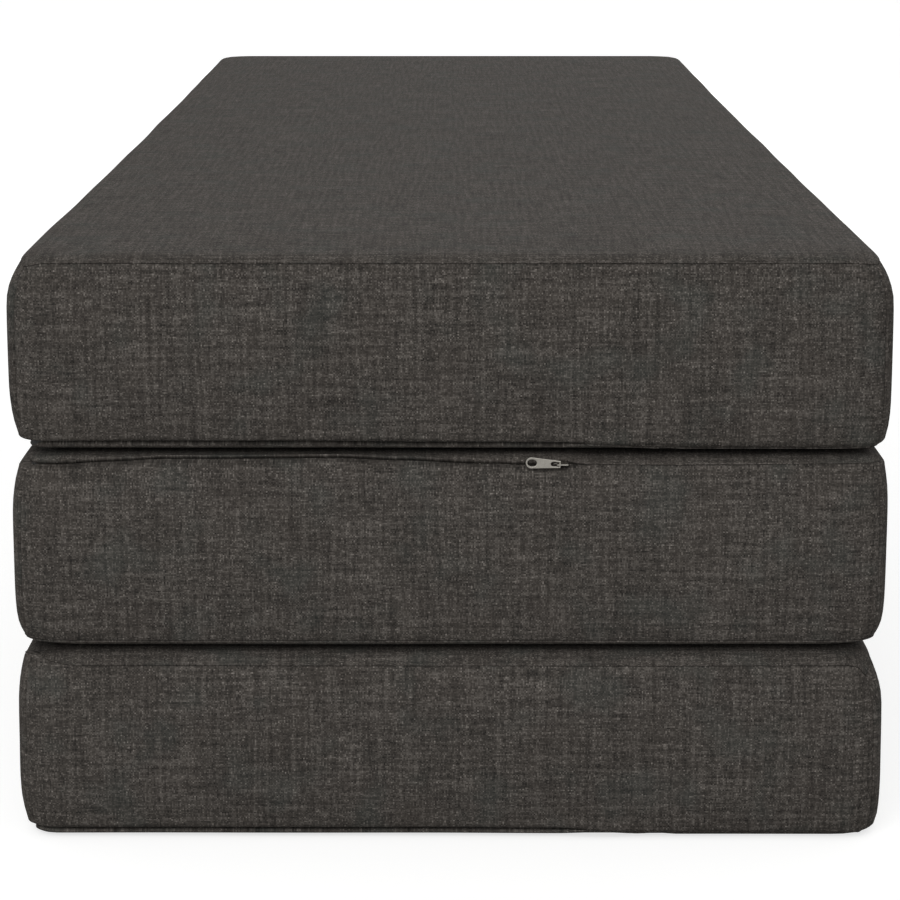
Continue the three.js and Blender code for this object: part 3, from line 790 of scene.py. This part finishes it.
def shaped_cover(blank, panel):
    """A panel's skin in its own place, underside down: the section swept round the outline."""
    form = blank.copy()
    straight_of = form.verts.layers.float_vector["straight"]
    corner_of = form.verts.layers.float_vector["corner"]
    row_of = form.verts.layers.int["row"]
    facts = {}
    seed = panel["seed"]
    for vert in form.verts:
        straight, corner, row = vert[straight_of], vert[corner_of], vert[row_of]
        if row in (0, UNDER_ROW):
            face_offset = -panel["edge_roll"] if row == 0 else -UNDER_FLAT
            x, y = (straight[i] + (CORNER_RADIUS + face_offset) * corner[i] for i in (0, 1))
            inset = min(HALF_WIDTH + face_offset - abs(x), HALF_LENGTH + face_offset - abs(y))
            near = 1 - min(max(inset / CROWN_REACH, 0.0), 1.0)
            fall = CROWN * near * near
            if row == 0:
                z = THICKNESS - fall - CORNER_DROP * corner_softness(x, y)
            else:
                z = RIM_LIFT * near * near
        else:
            key = (*straight, *corner)
            if key not in facts:
                facts[key] = column_facts(panel, straight, corner)
            here = facts[key]
            kind, share = ROWS[row - 1]
            offset, z = section(kind, share, here)
            if SEAM_ROW < row <= LINE_ROW - 2:
                pinch = max(0.0, 1 - here["from_corner"] / PINCH_REACH)
                offset -= SEAM_DEPTH * pinch ** 2.2
            x, y = (straight[i] + (CORNER_RADIUS + offset) * corner[i] for i in (0, 1))
        vert.co = (x, y, z)
    # Cloth is never quite true: the long walls draw in, and walls, seams and edges wander
    for vert in form.verts:
        x, y, z = vert.co
        side, end = math.copysign(1, x), math.copysign(1, y)
        out_x, out_y, _ = vert[corner_of]
        up = z / THICKNESS
        edge = smooth(1 - (HALF_WIDTH - abs(x)) / SWAY_REACH)
        drawn = SIDE_DRAW_IN * math.cos(math.pi * y / (2 * HALF_LENGTH))
        x -= side * drawn * abs(x) / HALF_WIDTH
        sway = SIDE_SWAY * out_x ** 2 * wave(y + 0.5 * z, SIDE_SWAY_RUN, seed + side)
        x += side * sway * (0.35 + 0.65 * up) * edge
        past = abs(x) - SIDE_LIMIT + SIDE_EASE
        if past > 0:
            x = side * (SIDE_LIMIT - SIDE_EASE + SIDE_EASE * math.tanh(past / SIDE_EASE))
        y += end * END_SWAY * out_y ** 2 * wave(x - 0.4 * z, END_SWAY_RUN, seed + 3 * end)
        ripple = EDGE_RIPPLE * wave(y, EDGE_RIPPLE_RUN, seed + 7 + side) * edge
        z += ripple * smooth(up * 1.4 - 0.3) * math.sin(math.pi * min(up, 0.96))
        vert.co = (x, y, z)
    return form


def part_of(face, row_of):
    """The piece of cloth that a face of the skin belongs to; walls meet at the corners' middles."""
    rows = [vert[row_of] for vert in face.verts]
    if max(rows) <= SEAM_ROW:
        return "sleeping"
    if min(rows) >= LINE_ROW:
        return "underside"
    x, y, _ = face.calc_center_median()
    if abs(y) - HALF_LENGTH >= abs(x) - HALF_WIDTH:
        return "front" if y < 0 else "rear"
    return "left" if x < 0 else "right"


def piece_of(whole, part):
    """One piece of cloth cut from the skin along its seams, with its edges turned in."""
    form = whole.copy()
    corner_of = form.verts.layers.float_vector["corner"]
    row_of = form.verts.layers.int["row"]
    unwanted = [face for face in form.faces if part_of(face, row_of) != part]
    bmesh.ops.delete(form, geom=unwanted, context="FACES")
    edges = [edge for edge in form.edges if edge.is_boundary]
    sewn = [vert for vert in form.verts if vert.is_boundary]
    for vert in sewn:
        out = Vector(vert[corner_of])
        middles = [face.calc_center_median() for face in vert.link_faces]
        inward = sum(middles, Vector()) / len(middles) - vert.co
        inward -= out * inward.dot(out)
        vert.co += inward.normalized() * SEAM_PARTING
    made = bmesh.ops.extrude_edge_only(form, edges=edges)["geom"]
    for item in made:
        if isinstance(item, bmesh.types.BMVert):
            item.co -= Vector(item[corner_of]) * FLAP
    for face in form.faces:
        face.smooth = True
    return form


def weave_map_of(form, way):
    """A flat map in metres that follows the cloth, so that the yarns run true on each piece."""
    corner_of = form.verts.layers.float_vector["corner"]
    layer = form.loops.layers.uv.new("weave")
    for face in form.faces:
        for loop in face.loops:
            x, y, z = loop.vert.co
            if way == "face":
                out = loop.vert[corner_of]
                drop = THICKNESS / 2 - abs(z - THICKNESS / 2)
                loop[layer].uv = (x + out[0] * drop, y + out[1] * drop)
            else:
                loop[layer].uv = (x, z) if way == "end" else (y, z)


def finished_cloth(form, name, body, node, panel, shift):
    """Makes one sewn piece of a cover an object in its place, on its body and for its node."""
    for vert in form.verts:
        x, y, z = vert.co
        if panel["turned"]:
            vert.co = (-x, y, panel["floor"] + THICKNESS - z)
        else:
            vert.co = (x, y, panel["floor"] + z)
    layer = form.loops.layers.uv["weave"]
    for face in form.faces:
        for loop in face.loops:
            loop[layer].uv += Vector(shift)
    cloth = new_object(form, name, linen)
    thicken = cloth.modifiers.new("cloth_thickness", "SOLIDIFY")
    thicken.thickness = CLOTH_THICKNESS
    thicken.offset = -1
    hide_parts(node)
    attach(cloth, body)


blank = blank_cover()
for panel_name, panel in PANELS.items():
    panel["filled"] = filled_walls(panel["seed"])
    skin = shaped_cover(blank, panel)
    seed = panel["seed"]
    for part, way, shift in (
        ("sleeping", "face", (0.013 * seed, 0.007 * seed)),
        ("underside", "face", (0.031 * seed, 0.017 * seed)),
        ("front", "end", (0.041 * seed, 0.023 * seed)),
        ("right", "side", (0.041 * seed + 0.3, 0.023 * seed)),
        ("rear", "end", (0.041 * seed + 0.6, 0.023 * seed)),
        ("left", "side", (0.041 * seed + 0.9, 0.023 * seed)),
    ):
        piece = piece_of(skin, part)
        weave_map_of(piece, way)
        if panel["turned"] and way == "side":
            part = "right" if part == "left" else "left"
        name = f"{panel_name}_{part}"
        cloth_kind, node_kind = ("cloth", "cover") if way == "face" else ("wall_cloth", "boxing")
        finished_cloth(
            piece, f"{name}_{cloth_kind}", panel_name + "_panel", f"{name}_{node_kind}", panel, shift
        )
    skin.free()
blank.free()


# Foam. Each panel holds a base block of firm polyurethane foam and a softer layer on it, cut by
# knife and glued. They lie loose inside the cover, clear of its seam allowances.
FOAM_EASE = 0.009
FOAM_SQUEEZE = 0.975
FIRM_FOAM = "#e6dfca"
SOFT_FOAM = "#d6dfe3"
FOAM_CELL = 0.0011
CELL_DEPTH = 0.0004
CUT_EDGE = 0.011  # how far the cover rounds a block's edges


def foam_material(name, colour):
    """Open-cell polyurethane: matt, pale and peppered with small round cells."""
    foam, shader = new_material(name)
    place = add_node(foam, "ShaderNodeTexCoord")
    cells = add_node(
        foam, "ShaderNodeTexVoronoi", {"Vector": place.outputs["Object"], "Scale": 1 / FOAM_CELL}
    )
    # Painted shade: the colour darkens where the cells' bump sinks the surface, between the cells
    tone = add_node(foam, "ShaderNodeValToRGB", {0: cells.outputs["Distance"]})
    tone.color_ramp.elements[0].color = linear(colour)
    tone.color_ramp.elements[1].color = linear(colour, 0.72)
    dents = add_node(
        foam,
        "ShaderNodeBump",
        {"Height": cells.outputs["Distance"], "Distance": CELL_DEPTH, "Strength": 0.5},
        invert=True,
    )
    feed(foam, shader, {
        "Base Color": tone.outputs[0],
        "Normal": dents.outputs[0],
        "Roughness": 0.95,
        "Specular IOR Level": 0.2,
    })
    return foam


firm_foam = foam_material("firm_polyurethane_foam", FIRM_FOAM)
soft_foam = foam_material("soft_polyurethane_foam", SOFT_FOAM)

for panel_name, panel in PANELS.items():
    for layer, material in (("base_foam", firm_foam), ("comfort_foam", soft_foam)):
        node = panel_name + "_" + layer
        form = bmesh.new()
        form.from_mesh(frame["nodes"][node].data)
        bmesh.ops.remove_doubles(form, verts=form.verts[:], dist=1e-5)
        middle = panel["floor"] + THICKNESS / 2
        for vert in form.verts:
            x, y, z = vert.co
            vert.co = (
                x * (1 - FOAM_EASE / HALF_WIDTH),
                y * (1 - FOAM_EASE / HALF_LENGTH),
                middle + (z - middle) * FOAM_SQUEEZE,
            )
        bmesh.ops.recalc_face_normals(form, faces=form.faces[:])
        block = new_object(form, node + "_block", material)
        rounding = block.modifiers.new("cut_edges", "BEVEL")
        rounding.width = CUT_EDGE
        rounding.segments = 4
        rounding.limit_method = "ANGLE"
        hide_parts(node)
        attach(block, panel_name + "_panel")


# Cloth hinges. A doubled strip of the cover cloth is sewn flat to two neighbouring panels and
# folds between them like a closed book. It is drawn folded only, and is tied to neither panel.
HINGE_INSET = 0.021  # from the fold's axis in to the strip's sewn edge
HINGE_TIP = 0.0014  # how far short of the axis the folded cloth stops
HINGE_LENGTH = 1.90
HINGE_ROWS = 90
HINGE_CLOTH = 0.0006
HINGE_DRAW_IN = 0.0012  # how far its folded edge draws in at the middle of its length
HINGE_END_DRAW_IN = 0.0028  # and towards its ends
HINGE_END_REACH = 0.07
HINGE_WANDER = 0.0007
HINGE_WANDER_RUN = 0.14
# Half of the folded strip's section: shares of the way from its sewn edge to its tip, and heights
HINGE_HALF = (
    (0.0, 0.0009), (0.3, 0.0010), (0.6, 0.0013), (0.8, 0.0018), (0.93, 0.0016), (0.985, 0.0009),
    (0.997, 0.0004),
)
HINGE_SECTION = [(share, -height) for share, height in HINGE_HALF] + [(1.0, 0.0), *reversed(HINGE_HALF)]
HINGE_BLEND = 0.0007  # how near the fold's tip the weave map's two halves close up to meet

for joint, lower, upper, side in (
    ("middle_fold", "bottom", "middle", "left"),
    ("top_fold", "middle", "top", "right"),
):
    axis_x, _, axis_z = joint_place(joint)
    way = math.copysign(1, axis_x)
    form = bmesh.new()
    verts = []
    for share, height in HINGE_SECTION:
        x = axis_x - way * (HINGE_TIP + (HINGE_INSET - HINGE_TIP) * (1 - share))
        verts.append(form.verts.new((x, -HINGE_LENGTH / 2, axis_z + height)))
    rim = [form.edges.new(pair) for pair in zip(verts, verts[1:])]
    for row in range(HINGE_ROWS):
        made = bmesh.ops.extrude_edge_only(form, edges=rim)["geom"]
        new_verts = [item for item in made if isinstance(item, bmesh.types.BMVert)]
        bmesh.ops.translate(form, verts=new_verts, vec=(0, HINGE_LENGTH / HINGE_ROWS, 0))
        rim = [
            item
            for item in made
            if isinstance(item, bmesh.types.BMEdge) and all(v in new_verts for v in item.verts)
        ]
    for vert in form.verts:
        x, y, z = vert.co
        tip = smooth((abs(x) - abs(axis_x) + HINGE_INSET) / HINGE_INSET)
        x -= way * tip * HINGE_DRAW_IN * math.cos(math.pi * y / (2 * HALF_LENGTH))
        near_end = smooth(1 - (HINGE_LENGTH / 2 - abs(y)) / HINGE_END_REACH)
        x -= way * tip * HINGE_END_DRAW_IN * near_end
        x += way * tip * HINGE_WANDER * wave(y, HINGE_WANDER_RUN, 51.0 + way)
        vert.co.x = x
    bmesh.ops.recalc_face_normals(form, faces=form.faces[:])
    # Thickness is added behind the faces, so they look into the fold and leave its inside clear
    lowest = min(form.faces, key=lambda face: face.calc_center_median().z)
    if lowest.normal.z < 0:
        bmesh.ops.reverse_faces(form, faces=form.faces[:])
    layer = form.loops.layers.uv.new("weave")
    for face in form.faces:
        face.smooth = True
        for loop in face.loops:
            x, y, z = loop.vert.co
            from_fold = (abs(axis_x) - abs(x)) * smooth(abs(z - axis_z) / HINGE_BLEND)
            loop[layer].uv = (math.copysign(from_fold, z - axis_z), y)
    bmesh.ops.solidify(form, geom=form.faces[:], thickness=HINGE_CLOTH)
    strip = new_object(form, side + "_hinge_cloth", linen)
    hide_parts(f"{lower}_{side}_hinge_strip", f"{upper}_{side}_hinge_strip")
    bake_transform(strip)


# Zips. A nylon coil zip closes each cover behind a fold of cloth: two woven tapes, the coil, a
# stop pressed on at each end, and a nickel-plated slider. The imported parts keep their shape.
NICKEL = "#aaa69e"
COIL_NYLON = "#1d1c1b"
ZIP_TAPE = "#242322"
COIL_PITCH = 0.0012
TAPE_PITCH = 0.0005
WEAR_PER_METRE = 900.0  # blotches of about 1 mm

# Zinc, barrel plated with nickel and handled since: a warm grey metal with a soft, blotched gloss
nickel, nickel_shader = new_material("satin_nickel_plate")
nickel_place = add_node(nickel, "ShaderNodeTexCoord")
wear = add_node(
    nickel,
    "ShaderNodeTexNoise",
    {"Vector": nickel_place.outputs["Object"], "Scale": WEAR_PER_METRE, "Detail": 3.0},
)
nickel_rough = add_node(
    nickel, "ShaderNodeMapRange", {"Value": wear.outputs["Fac"], "To Min": 0.30, "To Max": 0.46}
)
nickel_tone = add_node(nickel, "ShaderNodeValToRGB", {0: wear.outputs["Fac"]})
nickel_tone.color_ramp.elements[0].position = 0.3
nickel_tone.color_ramp.elements[0].color = linear(NICKEL, 0.8)
nickel_tone.color_ramp.elements[1].position = 0.7
nickel_tone.color_ramp.elements[1].color = linear(NICKEL)
feed(nickel, nickel_shader, {
    "Base Color": nickel_tone.outputs[0],
    "Roughness": nickel_rough.outputs[0],
    "Metallic": 1.0,
})


def ribbed_material(name, colour, pitch, roughness):
    """Yarn or coil: fine even ribs across the zip, pale on their backs and painted shade between."""
    ribbed, shader = new_material(name)
    place = add_node(ribbed, "ShaderNodeTexCoord")
    axes = add_node(ribbed, "ShaderNodeSeparateXYZ", {0: place.outputs["Object"]})
    along = add_node(ribbed, "ShaderNodeMath", {0: axes.outputs[0], 1: axes.outputs[1]}, operation="ADD")
    turns = add_node(
        ribbed, "ShaderNodeMath", {0: along.outputs[0], 1: 2 * math.pi / pitch}, operation="MULTIPLY"
    )
    rib = add_node(ribbed, "ShaderNodeMath", {0: turns.outputs[0]}, operation="SINE")
    # Painted shade: the grooves between the ribs are drawn at half the colour
    tone = add_node(ribbed, "ShaderNodeValToRGB", {0: rib.outputs[0]})
    tone.color_ramp.elements[0].color = linear(colour, 0.5)
    tone.color_ramp.elements[1].color = linear(colour)
    bump = add_node(
        ribbed, "ShaderNodeBump", {"Height": rib.outputs[0], "Distance": pitch / 6, "Strength": 0.6}
    )
    feed(ribbed, shader, {
        "Base Color": tone.outputs[0],
        "Normal": bump.outputs[0],
        "Roughness": roughness,
    })
    return ribbed


zip_coil = ribbed_material("dark_nylon_zip_coil", COIL_NYLON, COIL_PITCH, 0.45)
zip_tape = ribbed_material("dark_woven_zip_tape", ZIP_TAPE, TAPE_PITCH, 0.85)
for panel_name in PANELS:
    for part, material in (
        ("zip_chain", zip_coil),
        ("zip_wall_tape", zip_tape),
        ("zip_underside_tape", zip_tape),
        ("zip_front_stop", nickel),
        ("zip_rear_stop", nickel),
        ("zip_slider", nickel),
    ):
        mesh = frame["nodes"][f"{panel_name}_{part}"].data
        mesh.materials.clear()
        mesh.materials.append(material)


# Zip pulls. Each is a flat nickel tongue, stamped and tumbled so that its edges are rounded: a
# large oval hole in its round end, a small one at its neck for the slider's bridge.
PULL_LENGTH = 0.0258  # from its pin to its far end
PULL_THICKNESS = 0.001
PULL_HALF_WIDTH = 0.00425
NECK_HALF_WIDTH = 0.0027
PIN_HALF = 0.0005
EYE_END = 0.0069
EYE_HALF_WIDTH = 0.0017
HOLE_MIDDLE = 0.0210
HOLE_HALF_LENGTH = 0.0036
HOLE_HALF_WIDTH = 0.0028
PULL_EDGE = 0.00025
PULL_TILT = math.radians(2.4)  # how far its end stands up out of the line of the zip
PULL_FAR_END = 0.0005  # what counts as its far end, measured back from it


def oval(middle, half_length, half_width, start, sweep, steps):
    """Points round an oval on the pull's middle line, from one angle on through another."""
    turns = [math.radians(start + sweep * i / steps) for i in range(steps + 1)]
    return [(middle + half_length * math.cos(turn), half_width * math.sin(turn)) for turn in turns]


# The pull's rim and its two holes lie flat, with its pin at the origin and its end along +X
rim = [(-PIN_HALF, NECK_HALF_WIDTH), (-PIN_HALF, -NECK_HALF_WIDTH)]
rim += oval(PULL_LENGTH - PULL_HALF_WIDTH, PULL_HALF_WIDTH, PULL_HALF_WIDTH, -94, 188, 32)
eye = [(PIN_HALF, EYE_HALF_WIDTH), (PIN_HALF, -EYE_HALF_WIDTH)]
eye += oval(EYE_END - EYE_HALF_WIDTH, EYE_HALF_WIDTH, EYE_HALF_WIDTH, -90, 180, 16)
hole = oval(HOLE_MIDDLE, HOLE_HALF_LENGTH, HOLE_HALF_WIDTH, 0, 360, 40)[:-1]

for panel_name in PANELS:
    node = panel_name + "_zip_pull"
    outline = bpy.data.curves.new(node, "CURVE")
    outline.dimensions = "2D"
    outline.fill_mode = "BOTH"
    outline.extrude = PULL_THICKNESS / 2 - PULL_EDGE
    outline.bevel_depth = PULL_EDGE
    outline.bevel_resolution = 2
    outline.offset = -PULL_EDGE
    for points in (rim, eye, hole):
        spline = outline.splines.new("POLY")
        spline.points.add(len(points) - 1)
        spline.use_cyclic_u = True
        for point, (x, y) in zip(spline.points, points):
            point.co = (x, y, 0, 1)
    pattern = bpy.data.objects.new(node + "_outline", outline)
    mesh = bpy.data.meshes.new_from_object(pattern)
    bpy.data.objects.remove(pattern)
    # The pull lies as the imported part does: from its pin to the middle of its far end
    pin = Vector(joint_place(panel_name + "_pull_turn"))
    points = [vert.co - pin for vert in frame["nodes"][node].data.vertices]
    reach = max(abs(point.x) for point in points)
    far = [point for point in points if abs(point.x) > reach - PULL_FAR_END]
    along = sum(far, Vector()) / len(far)
    along.y = 0
    along.normalize()
    along.rotate(Matrix.Rotation(math.copysign(PULL_TILT, -along.x * along.z), 3, "Y"))
    across = Vector((0, 1, 0)).cross(along)
    axes = Matrix((along, across, along.cross(across))).transposed()
    mesh.transform(Matrix.Translation(pin) @ axes.to_4x4())
    mesh.materials.append(nickel)
    for face in mesh.polygons:
        face.use_smooth = False
    pull = bpy.data.objects.new(node + "_plate", mesh)
    bpy.context.collection.objects.link(pull)
    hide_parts(node)
    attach(pull, panel_name + "_pull")
